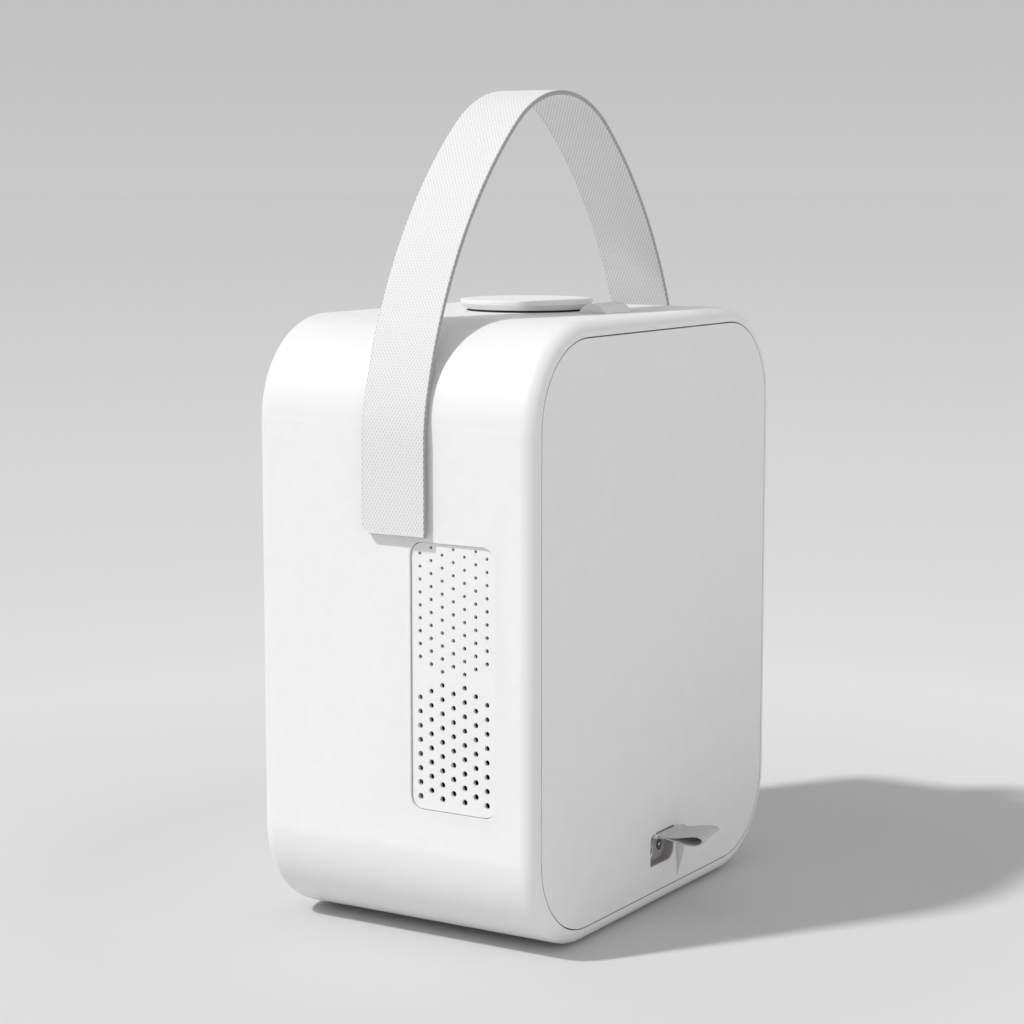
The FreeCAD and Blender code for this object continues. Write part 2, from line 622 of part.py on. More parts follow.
def driver_board():
    """LED driver board on the front cover's posts."""
    back = DRIVER_BOARD_Y + BOARD_T
    board = rounded_slab("Y", 0, 57.5, 92.0, 77.0, 3.0, DRIVER_BOARD_Y, back)
    board = board.cut([rod("Y", x, z, 1.1, -50, -35) for x, z in driver_board_posts()])
    coils = [rod("Y", x, z, 7.0, back, back + 9) for x, z in ((-24, 40), (24, 40))]
    caps = [rod("Y", x, 72, 4.0, back, back + 12) for x in (-26, -14, 14, 26)]
    return fuse([board] + coils + caps)


def board_screws():
    pieces = []
    for x, z in main_board_posts():
        pieces.append(screw("Y", x, z, MAIN_BOARD_Y - 1.5, MAIN_BOARD_Y, MAIN_BOARD_Y + 8, 2.2, 0.95))
    back = DRIVER_BOARD_Y + BOARD_T
    for x, z in driver_board_posts():
        pieces.append(screw("Y", x, z, back + 1.5, back, -INNER_BACK + 1, 2.2, 0.95))
    for x, y in encoder_posts():
        low = ENCODER_Z - BOARD_T
        pieces.append(screw("Z", x, y, low - 1.5, low, low + 8, 2.2, 0.95))
    for x, y in rocker_posts():
        low = ENCODER_Z - 2
        pieces.append(screw("Z", x, y, low - 1.5, low, low + 8, 2.0, 0.95))
    return group(pieces)


def panel_ribbon():
    """Flat cable from the LCD panel, through the duct's slot and down to the main board."""
    start, drop, bottom, z, bend, thick, half_w = 30.0, 35.0, 55.8, 75.8, 1.6, 0.3, 9.5
    corner = Vector(-half_w, drop - bend, z - bend)

    def bend_edge(radius):
        points = [corner + Vector(0, radius * math.sin(math.radians(a)),
                                  radius * math.cos(math.radians(a))) for a in (0, 45, 90)]
        return points, Part.Arc(*points).toShape()

    outer, outer_arc = bend_edge(bend + thick)
    inner, inner_arc = bend_edge(bend)
    a, b = Vector(-half_w, start, outer[0].z), Vector(-half_w, outer[2].y, bottom)
    c, d = Vector(-half_w, inner[2].y, bottom), Vector(-half_w, start, inner[0].z)
    lines = [(a, outer[0]), (outer[2], b), (b, c), (c, inner[2]), (inner[0], d), (d, a)]
    edges = [Part.LineSegment(p, q).toShape() for p, q in lines] + [outer_arc, inner_arc]
    wire = Part.Wire(Part.__sortEdges__(edges))
    return Part.Face(wire).extrude(AXES["X"] * (2 * half_w))


# --- Light engine ---

def pillar_places():
    return [(x, y) for x in (-PILLAR_X, PILLAR_X) for y in (PATH_Y - 20, PATH_Y + 20)]


def led_heatsink():
    base = box(-30, 30, PATH_Y - 28, PATH_Y + 28, 29, 33)
    fins = [box(x - 0.7, x + 0.7, PATH_Y - 28, PATH_Y + 28, 12, 29) for x in range(-28, 29, 7)]
    return fuse([base] + fins)


def led_board():
    board = rounded_slab("Z", 0, PATH_Y, 44.0, 44.0, 3.0, 33.0, 34.6)
    emitter = rounded_slab("Z", 0, PATH_Y, 12.0, 12.0, 2.0, 34.6, 36.2)
    return fuse([board, emitter])


def condenser_lens():
    """Plano-convex glass: flat side down on the duct's ledge."""
    radius, rim_z, crown = 24.5, 47.0, 8.0
    sphere_r = (radius ** 2 + crown ** 2) / (2 * crown)
    disc = rod("Z", 0, PATH_Y, radius, 44.0, rim_z + crown)
    ball = Part.makeSphere(sphere_r, Vector(0, PATH_Y, rim_z + crown - sphere_r))
    return disc.common(ball)


def engine_housing():
    """Duct for the vertical light path; each step inside carries a plate or lens."""
    duct = box(-DUCT_W / 2, DUCT_W / 2, DUCT_FRONT, DUCT_BACK, DUCT_BOTTOM, DUCT_TOP)
    ears = [box(x - 5, x + 5, y - 5, y + 5, DUCT_BOTTOM, DUCT_BOTTOM + 3) for x, y in pillar_places()]
    duct = fuse([duct] + ears)
    steps = ((60.0, 66.0, 60.0, 40.0), (66.0, 74.0, 64.0, 44.0), (74.0, DUCT_TOP, 68.0, 48.0))
    cuts = [rod("Z", 0, PATH_Y, 22.0, 30, 45), rod("Z", 0, PATH_Y, 25.0, 44, 60)]
    cuts += [box(-w / 2, w / 2, PATH_Y - d / 2, PATH_Y + d / 2, z0, z1) for z0, z1, w, d in steps]
    cuts.append(box(-10.5, 10.5, DUCT_BACK - 3, DUCT_BACK + 1, 75.0, 77.0))
    cuts.append(box(-22.5, 22.5, PATH_Y - 22.5, PATH_Y + 22.5, 30, 37))
    cuts += [rod("Z", x, y, 1.4, 30, 45) for x, y in pillar_places()]
    return duct.cut(cuts)


def optic_plate(width, depth, z0, z1):
    return box(-width / 2, width / 2, PATH_Y - depth / 2, PATH_Y + depth / 2, z0, z1)


def mirror_outline(inset):
    """Side view of the mirror housing as (y, z) points; its slope is at 45 degrees."""
    y0, y1 = DUCT_FRONT + inset, DUCT_BACK - inset
    z0 = DUCT_TOP
    slope = PATH_Y + LENS_Z
    return [(y0, z0), (y1, z0), (y1, slope - y1), (y0, slope - y0)]


def mirror_housing():
    half = DUCT_W / 2
    shell = flat_solid(mirror_outline(0), "X", -half, half)
    y0, y1 = DUCT_FRONT + 4, DUCT_BACK - 2
    inside = [(y0, DUCT_TOP - 1), (y1, DUCT_TOP - 1), (y1, 170), (y0, 190)]
    hollow = flat_solid(inside, "X", -half + 2, half - 2)
    return shell.cut([hollow, rod("Y", 0, LENS_Z, CELL_R + 1, DUCT_FRONT - 1, DUCT_FRONT + 5)])


def fold_mirror():
    """Glass that closes the housing's slope and turns the light towards the lens."""
    mirror = box(-DUCT_W / 2 + 1, DUCT_W / 2 - 1, -34.0, 34.0, 0.0, 3.0)
    mirror.rotate(ORIGIN, AXES["X"], -45)
    mirror.translate(Vector(0, PATH_Y, LENS_Z))
    return mirror


def lens_mount():
    """Flange on the mirror housing with the tube that guides the lens cell."""
    flange = box(-40, 34, FLANGE_FRONT, DUCT_FRONT, 108, 178)
    guide = rod("Y", 0, LENS_Z, LENS_TUBE_R, -45, DUCT_FRONT)
    rear_stop = rod("Y", 0, LENS_Z, LENS_TUBE_R + 1.5, GEAR_END + 0.1, FLANGE_FRONT)
    shape = fuse([flange, guide, rear_stop])
    cuts = [rod("Y", 0, LENS_Z, CELL_R + FIT, -60, 0)]
    cuts += [rod("Y", x, z, 1.3, -30, 0) for x, z in flange_screws()]
    return shape.cut(cuts)


def flange_screws():
    return [(x, z) for x in (-31.0, 31.0) for z in (136.0, 173.0)]


def engine_screws():
    top = DUCT_BOTTOM + 3
    pieces = [screw("Z", x, y, top + 2, top, 26.0, 2.6, 1.2) for x, y in pillar_places()]
    pieces += [screw("Y", x, z, FLANGE_FRONT - 2, FLANGE_FRONT, FLANGE_FRONT + 4, 2.4, 1.25)
               for x, z in flange_screws()]
    return group(pieces)


def lens_cell():
    cell = tube("Y", 0, LENS_Z, CELL_R, CELL_BORE_R, CELL_FRONT, CELL_BACK)
    spacer = tube("Y", 0, LENS_Z, CELL_BORE_R, CELL_BORE_R - 3, -36.0, -29.0)
    return fuse([cell, spacer])


def bowed_glass(start, end, bow):
    """Round glass in the cell whose two faces bow out by the same height."""
    sphere_r = (CELL_BORE_R ** 2 + bow ** 2) / (2 * bow)
    disc = rod("Y", 0, LENS_Z, CELL_BORE_R - 0.02, start, end)
    front = Part.makeSphere(sphere_r, Vector(0, start + sphere_r, LENS_Z))
    back = Part.makeSphere(sphere_r, Vector(0, end - sphere_r, LENS_Z))
    return disc.common(front).common(back)


def lens_bezel():
    """Ring in the front cover that funnels down to the lens."""
    edge = -BACK
    profile = [(29.0, edge + 3.5), (29.0, edge), (31.5, edge), (31.5, edge - 0.9),
               (30.9, edge - 1.5), (26.5, edge - 1.5), (22.5, edge + 2.2), (22.5, edge + 3.5)]
    ring = turned([(r, -y) for r, y in profile])
    ring.rotate(ORIGIN, AXES["X"], 90)
    ring.translate(Vector(0, 0, LENS_Z))
    return ring


def ir_window():
    window = rod("Y", 0, 106.0, 3.45, -BACK - 0.3, -INNER_BACK + 1.5)
    return window.makeFillet(0.3, [edge for edge in window.Edges if edge.BoundBox.YMax < -BACK])


# --- Focus drive ---

def involute(angle):
    return math.tan(angle) - angle


def gear(teeth, phase, bore_r, x, z):
    """Spur gear about Y; a tooth is centred on the phase angle, from +X towards +Z."""
    pitch_r = GEAR_MODULE * teeth / 2
    base_r = pitch_r * math.cos(PRESSURE_ANGLE)
    root_r, tip_r = pitch_r - ROOT_DEPTH, pitch_r + TIP_HEIGHT
    half_tooth = math.pi / (2 * teeth) - TOOTH_BACKLASH / (2 * pitch_r)
    first_r = max(base_r, root_r)
    flank = [(root_r, base_r)] if root_r < base_r else []
    flank += [(first_r + (tip_r - first_r) * i / 4,) * 2 for i in range(5)]
    points = []
    for tooth in range(teeth):
        centre = phase + 2 * math.pi * tooth / teeth
        half = [(radius, half_tooth + involute(PRESSURE_ANGLE)
                 - involute(math.acos(min(1.0, base_r / flank_r)))) for radius, flank_r in flank]
        turns = [(radius, centre - angle) for radius, angle in half]
        turns += [(radius, centre + angle) for radius, angle in reversed(half)]
        points += [(x + radius * math.cos(turn), z + radius * math.sin(turn))
                   for radius, turn in turns]
    blank = flat_solid(points, "Y", GEAR_START, GEAR_END)
    return blank.cut(rod("Y", x, z, bore_r, GEAR_START - 1, GEAR_END + 1))


def pinion_place():
    distance = GEAR_MODULE * (RING_TEETH + PINION_TEETH) / 2
    return distance * math.cos(PINION_ANGLE), LENS_Z + distance * math.sin(PINION_ANGLE)


def focus_ring():
    return gear(RING_TEETH, PINION_ANGLE, LENS_TUBE_R + FIT, 0, LENS_Z)


def focus_pinion():
    x, z = pinion_place()
    gap_phase = PINION_ANGLE + math.pi + math.pi / PINION_TEETH
    wheel = gear(PINION_TEETH, gap_phase, 1.2, x, z)
    hub = tube("Y", x, z, 3.5, 1.2, GEAR_END, GEAR_END + 2)
    shaft = rod("Y", x, z, 1.2, GEAR_START - 1, -27.0)
    return fuse([wheel, hub, shaft])


def focus_motor():
    """Stepper on the lens mount's flange; its bore carries the pinion's shaft."""
    x, z = pinion_place()
    can = rod("Y", x, z, 7.5, -31.5, FLANGE_FRONT)
    nose = rod("Y", x, z, 3.0, -31.9, -31.5)
    return fuse([can, nose]).cut(rod("Y", x, z, 1.2 + FIT, -40, -26.5))


def ring_keeper():
    """Snap ring in front of the geared ring."""
    return tube("Y", 0, LENS_Z, LENS_TUBE_R + 3, LENS_TUBE_R, GEAR_START - 1.4, GEAR_START - 0.1)


# --- Fans and speakers behind each grille ---

def fan_frame():
    back, face = FAN_FACE - FAN_T, FAN_FACE
    frame = rounded_slab("X", GRILLE_Y, FAN_Z, FAN_SIZE, FAN_SIZE, 3.0, back, face)
    frame = frame.cut(rod("X", GRILLE_Y, FAN_Z, FAN_BORE_R, back - 1, face + 1))
    disc = rod("X", GRILLE_Y, FAN_Z, HUB_R, back, back + 1.5)
    struts = []
    for turn in (45, 135, 225, 315):
        strut = box(back, back + 1.5, GRILLE_Y - 1, GRILLE_Y + 1, FAN_Z + HUB_R - 1, FAN_Z + FAN_BORE_R + 1)
        strut.rotate(Vector(0, GRILLE_Y, FAN_Z), AXES["X"], turn)
        struts.append(strut)
    spindle = rod("X", GRILLE_Y, FAN_Z, 1.0, back + 1.5, face - 2.6)
    return fuse([frame, disc] + struts + [spindle])


def fan_rotor():
    back, face = FAN_FACE - FAN_T + 2, FAN_FACE - 0.8
    centre = Vector(0, GRILLE_Y, FAN_Z)
    hub = rod("X", GRILLE_Y, FAN_Z, HUB_R, back, face)
    reach = rod("X", GRILLE_Y, FAN_Z, BLADE_TIP_R, back, face)
    middle = (back + face) / 2
    blades = []
    for blade in range(BLADES):
        leaf = box(middle - 0.5, middle + 0.5, GRILLE_Y - 5.5, GRILLE_Y + 5.5,
                   FAN_Z + HUB_R - 1, FAN_Z + BLADE_TIP_R + 1)
        leaf.rotate(Vector(middle, GRILLE_Y, FAN_Z), AXES["Z"], 50)
        leaf.rotate(centre, AXES["X"], 360 * blade / BLADES)
        blades.append(leaf.common(reach))
    rotor = hub.fuse(blades)
    return rotor.cut(rod("X", GRILLE_Y, FAN_Z, 1.0 + FIT, back - 1, face - 1.4))


def speaker():
    """Flange, cone and magnet of one small driver, facing its grille."""
    face = FAN_FACE
    flange = rounded_slab("X", GRILLE_Y, SPEAKER_Z, 34.0, 40.0, 6.0, face - 2, face)
    flange = flange.cut(rod("X", GRILLE_Y, SPEAKER_Z, 14.5, face - 3, face + 1))
    centre, axis = Vector(face - 11, GRILLE_Y, SPEAKER_Z), AXES["X"]
    basket = Part.makeCone(9.0, 16.0, 9.0, centre, axis)
    basket = basket.cut(Part.makeCone(7.5, 14.5, 9.0, centre, axis))
    dome = rod("X", GRILLE_Y, SPEAKER_Z, 9.0, face - 11, face - 9)
    magnet = rod("X", GRILLE_Y, SPEAKER_Z, 11.0, face - 17, face - 11)
    return fuse([flange, basket, dome, magnet])


def build_parts():
    parts = {
        "mid_sleeve": mid_sleeve(),
        "front_cover": front_cover(),
        "back_cover": back_cover(),
        "rubber_feet": rubber_feet(),
        "tripod_bush": tripod_bush(),
        "base_frame": base_frame(),
        "base_screws": base_screws(),
        "carry_strap": carry_strap(),
        "anchor_screws": anchor_screws(),
        "control_dial": control_dial(),
        "dial_seat": dial_seat(),
        "dial_plunger": dial_plunger(),
        "dial_shaft": dial_shaft(),
        "dial_spring": dial_spring(),
        "encoder_unit": encoder_unit(),
        "rocker_key": rocker_key(),
        "rocker_bracket": rocker_bracket(),
        "rocker_pin": rocker_pin(),
        "port_bay": port_bay(),
        "dc_jack": dc_jack(),
        "dc_pin": dc_pin(),
        "audio_jack": audio_jack(),
        "port_cover": port_cover(),
        "cover_hinge": cover_hinge(),
        "cover_tether": cover_tether(),
        "main_board": main_board(),
        "driver_board": driver_board(),
        "board_screws": board_screws(),
        "panel_ribbon": panel_ribbon(),
        "led_heatsink": led_heatsink(),
        "led_board": led_board(),
        "condenser_lens": condenser_lens(),
        "engine_housing": engine_housing(),
        "fresnel_lens": optic_plate(63.6, 43.6, 66.0, 68.0),
        "lcd_panel": optic_plate(67.6, 47.6, 74.0, 77.0),
        "mirror_housing": mirror_housing(),
        "fold_mirror": fold_mirror(),
        "lens_mount": lens_mount(),
        "engine_screws": engine_screws(),
        "lens_cell": lens_cell(),
        "front_element": bowed_glass(-46.0, -36.0, 4.0),
        "rear_element": bowed_glass(-29.0, -22.0, 2.5),
        "lens_bezel": lens_bezel(),
        "ir_window": ir_window(),
        "focus_ring": focus_ring(),
        "focus_pinion": focus_pinion(),
        "focus_motor": focus_motor(),
        "ring_keeper": ring_keeper(),
    }
    for name, side in (("left", mirrored), ("right", Part.Shape.copy)):
        parts["side_grille_" + name] = side(side_grille())
        parts["strap_anchor_" + name] = side(strap_anchor())
        parts["anchor_bush_" + name] = side(anchor_bush())
        parts["fan_frame_" + name] = side(fan_frame())
        parts["fan_rotor_" + name] = side(fan_rotor())
        parts["speaker_" + name] = side(speaker())
    return parts


def main():
    os.makedirs("parts", exist_ok=True)
    for name, shape in build_parts().items():
        shape.translate(Vector(0, 0, -FLOOR))
        shape.exportStep(f"parts/{name}.step")


main()
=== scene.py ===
import json
import math

import bmesh
import bpy
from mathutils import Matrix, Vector


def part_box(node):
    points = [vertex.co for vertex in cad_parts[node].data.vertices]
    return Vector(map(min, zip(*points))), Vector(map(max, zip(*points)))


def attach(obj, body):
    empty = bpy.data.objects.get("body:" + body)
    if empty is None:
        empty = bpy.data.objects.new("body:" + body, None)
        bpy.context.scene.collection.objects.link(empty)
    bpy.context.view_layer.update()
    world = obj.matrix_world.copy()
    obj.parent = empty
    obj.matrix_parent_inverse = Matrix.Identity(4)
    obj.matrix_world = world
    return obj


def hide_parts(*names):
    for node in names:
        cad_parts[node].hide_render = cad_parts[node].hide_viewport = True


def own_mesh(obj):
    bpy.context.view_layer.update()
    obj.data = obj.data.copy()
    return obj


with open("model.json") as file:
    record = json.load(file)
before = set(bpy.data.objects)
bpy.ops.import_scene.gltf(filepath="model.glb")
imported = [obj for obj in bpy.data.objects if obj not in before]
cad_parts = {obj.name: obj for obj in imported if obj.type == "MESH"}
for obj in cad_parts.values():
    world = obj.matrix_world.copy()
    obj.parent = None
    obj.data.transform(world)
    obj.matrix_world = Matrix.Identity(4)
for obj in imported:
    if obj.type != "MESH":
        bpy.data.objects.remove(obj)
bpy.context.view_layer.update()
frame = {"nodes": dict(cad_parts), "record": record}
nodes = frame["nodes"]
scene = bpy.context.scene
MM = 0.001


# ---------------------------------------------------------------- node helpers

def set_stops(node, stops):
    """Fill a color ramp node with (place, tone or color) stops, low places first."""
    elements = node.color_ramp.elements
    while len(elements) < len(stops):
        elements.new(0.5)
    for element, (place, color) in zip(elements, stops):
        element.position = place
        element.color = (*color, 1) if hasattr(color, "__len__") else (color,) * 3 + (1,)


def set_or_link(tree, socket, value):
    """Link a socket to an output, or set it to a number or a color."""
    if isinstance(value, bpy.types.NodeSocket):
        tree.links.new(value, socket)
    elif hasattr(value, "__len__"):
        socket.default_value = (*value, 1)
    else:
        socket.default_value = value


class Graph:
    """A material's node tree, with short calls for the nodes used here."""

    def __init__(self, name):
        self.material = bpy.data.materials.new(name)
        self.material.use_nodes = True
        self.tree = self.material.node_tree
        self.shader = self.tree.nodes["Principled BSDF"]
        self.coords = self.add("ShaderNodeTexCoord").outputs["Object"]

    def add(self, kind, **settings):
        node = self.tree.nodes.new(kind)
        for key, value in settings.items():
            setattr(node, key, value)
        return node

    def link(self, source, target):
        self.tree.links.new(source, target)

    def feed(self, node, **inputs):
        for key, value in inputs.items():
            set_or_link(self.tree, node.inputs[key.replace("_", " ")], value)

    def noise(self, scale, detail=3.0, roughness=0.5, coords=None, stretch=None):
        coords = coords or self.coords
        if stretch:
            mapping = self.add("ShaderNodeMapping")
            mapping.inputs["Scale"].default_value = stretch
            self.link(coords, mapping.inputs["Vector"])
            coords = mapping.outputs["Vector"]
        node = self.add("ShaderNodeTexNoise")
        self.feed(node, Vector=coords, Scale=scale, Detail=detail, Roughness=roughness)
        return node.outputs["Fac"]

    def cells(self, scale):
        node = self.add("ShaderNodeTexVoronoi", feature="F1")
        self.feed(node, Vector=self.coords, Scale=scale)
        return node.outputs["Distance"]

    def ramp(self, value, stops):
        node = self.add("ShaderNodeValToRGB")
        set_stops(node, stops)
        self.link(value, node.inputs["Fac"])
        return node.outputs["Color"]

    def spread(self, value, low, high):
        """A 0 to 1 value spread over low to high."""
        node = self.add("ShaderNodeMapRange")
        self.feed(node, Value=value)
        node.inputs["To Min"].default_value = low
        node.inputs["To Max"].default_value = high
        return node.outputs["Result"]

    def math(self, operation, first, second):
        node = self.add("ShaderNodeMath", operation=operation)
        for socket, value in zip(node.inputs, (first, second)):
            set_or_link(self.tree, socket, value)
        return node.outputs["Value"]

    def blend(self, first, share, second):
        """Weighted sum of two values, the first with this share."""
        return self.math("ADD", self.math("MULTIPLY", first, share),
                         self.math("MULTIPLY", second, round(1 - share, 3)))

    def mix(self, factor, first, second):
        node = self.add("ShaderNodeMix", data_type="RGBA")
        for name, value in (("Factor", factor), ("A", first), ("B", second)):
            set_or_link(self.tree, node.inputs[name], value)
        return [out for out in node.outputs if out.type == "RGBA"][0]

    def bump(self, height, distance):
        node = self.add("ShaderNodeBump")
        self.feed(node, Height=height, Distance=distance, Strength=1.0)
        return node.outputs["Normal"]


def shade(color, amount):
    return tuple(max(0.0, min(1.0, c * amount)) for c in color)


def moulded(name, color, roughness=0.45, grain=0.35, depth=0.012, specular=0.5, sheen=0.0,
            tone=0.03, wear=0.0):
    """Moulded plastic or rubber: spark-eroded grain, slow tone drift and rubbed edges.
    grain is the grain's size and depth its height, both in millimetres."""
    g = Graph(name)
    drift = g.noise(14.0, 3.0)
    fine = g.noise(1.0 / (grain * MM), 4.0, 0.6)
    base = g.mix(g.spread(drift, 0.0, 1.0), shade(color, 1 - tone), shade(color, 1 + tone))
    base = g.mix(g.spread(fine, 0.0, 0.35), base, shade(color, 0.93))
    if wear:
        edges = g.ramp(g.add("ShaderNodeNewGeometry").outputs["Pointiness"],
                       [(0.5, 0.0), (0.56, 1.0)])
        rubbed = g.math("MULTIPLY", edges, g.noise(180.0, 4.0))
        base = g.mix(g.math("MULTIPLY", rubbed, wear), base, shade(color, 1.25))
    scuff = g.noise(60.0, 5.0, 0.7, stretch=(1.0, 1.0, 0.25))
    g.link(base, g.shader.inputs["Base Color"])
    g.link(g.spread(g.blend(fine, 0.5, scuff), roughness - 0.07, roughness + 0.07),
           g.shader.inputs["Roughness"])
    g.shader.inputs["Specular IOR Level"].default_value = specular
    g.shader.inputs["Sheen Weight"].default_value = sheen
    pits = g.cells(0.6 / (grain * MM))
    g.link(g.bump(g.blend(fine, 0.7, pits), depth * MM), g.shader.inputs["Normal"])
    return g.material


def metal(name, color, roughness=0.3, brushed=(1.0, 1.0, 1.0), depth=0.01, tarnish=0.1):
    """Bare or plated metal with fine tool marks and slight tarnish."""
    g = Graph(name)
    marks = g.noise(1800.0, 4.0, 0.6, stretch=brushed)
    stain = g.noise(70.0, 5.0, 0.65)
    base = g.mix(g.ramp(stain, [(0.42, 0.0), (0.75, 1.0)]), color, shade(color, 1 - 3 * tarnish))
    g.link(base, g.shader.inputs["Base Color"])
    g.shader.inputs["Metallic"].default_value = 1.0
    g.link(g.spread(g.blend(marks, 0.6, stain), roughness - 0.08, roughness + 0.14),
           g.shader.inputs["Roughness"])
    g.link(g.bump(marks, depth * MM), g.shader.inputs["Normal"])
    return g.material


GLASS_IOR = 1.52
COATING_TINT = (0.5, 0.6, 1.0)


def glass(name, color, roughness=0.02, transmission=1.0):
    """Optical glass with a faint coating tint and dust."""
    g = Graph(name)
    dust = g.ramp(g.noise(900.0, 2.0), [(0.62, 0.0), (0.8, 1.0)])
    sweep = g.noise(35.0, 2.0)
    coated = tuple(c * k for c, k in zip(color, COATING_TINT))
    tint = g.mix(g.spread(sweep, 0.0, 0.25), color, coated)
    g.link(g.mix(g.math("MULTIPLY", dust, 0.15), tint, (0.8, 0.8, 0.8)),
           g.shader.inputs["Base Color"])
    g.link(g.spread(dust, roughness, roughness + 0.12), g.shader.inputs["Roughness"])
    g.shader.inputs["Transmission Weight"].default_value = transmission
    g.shader.inputs["IOR"].default_value = GLASS_IOR
    g.shader.inputs["Coat Weight"].default_value = 0.3
    return g.material


def circuit_board(name, color):
    """Solder mask over copper tracks, with rows of pads."""
    g = Graph(name)
    brick = g.add("ShaderNodeTexBrick")
    g.feed(brick, Vector=g.coords, Scale=230.0)
    brick.inputs["Color1"].default_value = (*shade(color, 0.85), 1)
    brick.inputs["Color2"].default_value = (*shade(color, 1.25), 1)
    brick.inputs["Mortar"].default_value = (*shade(color, 1.9), 1)
    brick.inputs["Mortar Size"].default_value = 0.035
    pads = g.ramp(g.cells(420.0), [(0.12, 1.0), (0.16, 0.0)])
    base = g.mix(pads, brick.outputs["Color"], (0.62, 0.60, 0.55))
    g.link(base, g.shader.inputs["Base Color"])
    g.link(g.spread(g.noise(300.0), 0.25, 0.45), g.shader.inputs["Roughness"])
    g.link(g.bump(brick.outputs["Fac"], 0.03 * MM), g.shader.inputs["Normal"])
    return g.material


def ribbon(name, color):
    """Polyimide film with parallel conductors."""
    g = Graph(name)
    wave = g.add("ShaderNodeTexWave", wave_type="BANDS", bands_direction="X")
    g.feed(wave, Vector=g.coords, Scale=160.0)
    lines = g.ramp(wave.outputs["Fac"], [(0.35, 0.0), (0.5, 1.0)])
    g.link(g.mix(lines, shade(color, 0.75), shade(color, 1.2)), g.shader.inputs["Base Color"])
    g.link(g.spread(g.noise(200.0), 0.2, 0.4), g.shader.inputs["Roughness"])
    g.link(g.bump(lines, 0.02 * MM), g.shader.inputs["Normal"])
    return g.material


def webbing(name, color):
    """Polyester webbing: bright yarn crowns, painted shade in the gaps between them and on the
    edges, and fine filaments.
    """
    g = Graph(name)
    # the crown attribute carries painted shade: low in the weave's gaps and on the strap's edges
    crown = g.add("ShaderNodeAttribute", attribute_name="crown").outputs["Fac"]
    uv = g.add("ShaderNodeUVMap", uv_map="weave").outputs["UV"]
    filaments = g.noise(1.0, 3.0, 0.6, coords=uv, stretch=(9.0, 1.2, 1.0))
    fuzz = g.noise(2600.0, 4.0, 0.7)
    soil = g.noise(40.0, 4.0)
    yarn = g.mix(g.spread(filaments, 0.0, 1.0), shade(color, 0.93), shade(color, 1.05))
    yarn = g.mix(g.spread(soil, 0.0, 0.4), yarn, shade(color, 0.96))
    # painted shade, darker where the crown attribute is low: in the weave's gaps and on the
    # strap's edges
    painted_shade = g.ramp(crown, [(0.0, 1.0), (0.3, 0.6), (0.85, 0.0)])
    g.link(g.mix(painted_shade, yarn, shade(color, 0.4)), g.shader.inputs["Base Color"])
    g.link(g.spread(fuzz, 0.62, 0.85), g.shader.inputs["Roughness"])
    g.shader.inputs["Specular IOR Level"].default_value = 0.3
    g.shader.inputs["Sheen Weight"].default_value = 0.15
    g.shader.inputs["Sheen Roughness"].default_value = 0.5
    g.link(g.bump(g.blend(filaments, 0.6, fuzz), 0.06 * MM), g.shader.inputs["Normal"])
    return g.material


WHITE = (0.80, 0.80, 0.80)
SLOTS = {
    "case_white": moulded("case_white", WHITE, 0.42, depth=0.008, wear=0.25),
    "cover_white": moulded("cover_white", shade(WHITE, 0.99), 0.45, depth=0.008, wear=0.2),
    "dial_white": moulded("dial_white", WHITE, 0.36, grain=0.25, depth=0.004),
    "strap_webbing": webbing("strap_webbing", (0.80, 0.80, 0.80)),
    "foot_rubber": moulded("foot_rubber", (0.045, 0.045, 0.048), 0.72, 0.5, 0.02, 0.3, 0.1, 0.15),
    "port_rubber": moulded("port_rubber", (0.57, 0.57, 0.565), 0.6, 0.3, 0.01, 0.35, 0.1, 0.04),
    "bay_grey": moulded("bay_grey", (0.42, 0.404, 0.413), 0.55, 0.35, 0.02, 0.4, 0.0, 0.08),
    "black_plastic": moulded("black_plastic", (0.022, 0.022, 0.024), 0.42, 0.35, 0.015, 0.5,
                             0.0, 0.15, 0.15),
    "grey_nylon": moulded("grey_nylon", (0.32, 0.33, 0.34), 0.5, 0.6, 0.02, 0.45, 0.0, 0.08),
    "dark_window": moulded("dark_window", (0.02, 0.008, 0.01), 0.1, 0.8, 0.001, 0.6),
    "brass": metal("brass", (0.62, 0.43, 0.17), 0.28, (1.0, 1.0, 8.0)),
    "steel": metal("steel", (0.56, 0.57, 0.58), 0.32, (1.0, 6.0, 1.0)),
    "nickel": metal("nickel", (0.80, 0.79, 0.76), 0.16, (1.0, 6.0, 1.0), 0.004, 0.04),
    "board_green": circuit_board("board_green", (0.02, 0.11, 0.05)),
    "ribbon_tan": ribbon("ribbon_tan", (0.42, 0.23, 0.06)),
    "aluminium": metal("aluminium", (0.68, 0.69, 0.70), 0.38, (1.0, 1.0, 10.0)),
    "lens_glass": glass("lens_glass", (0.86, 0.92, 0.97)),
    "panel_glass": glass("panel_glass", (0.10, 0.11, 0.13), 0.08, 0.35),
    "mirror": metal("mirror", (0.92, 0.93, 0.94), 0.09, (1.0, 1.0, 1.0), 0.0005, 0.01),
}

for row in frame["record"]["subparts"]:
    mesh = nodes[row["node"]].data
    mesh.materials.clear()
    mesh.materials.append(SLOTS[row["material_slot"]])


# ---------------------------------------------------------------- mesh helpers

def join_rings(bm, rings):
    """Faces between each ring of points and the next."""
    for ring, after in zip(rings, rings[1:]):
        for i in range(len(ring)):
            j = (i + 1) % len(ring)
            bm.faces.new((ring[i], ring[j], after[j], after[i]))


def cap_ends(bm, rings):
    for end in (rings[0], rings[-1]):
        bm.faces.new(end)


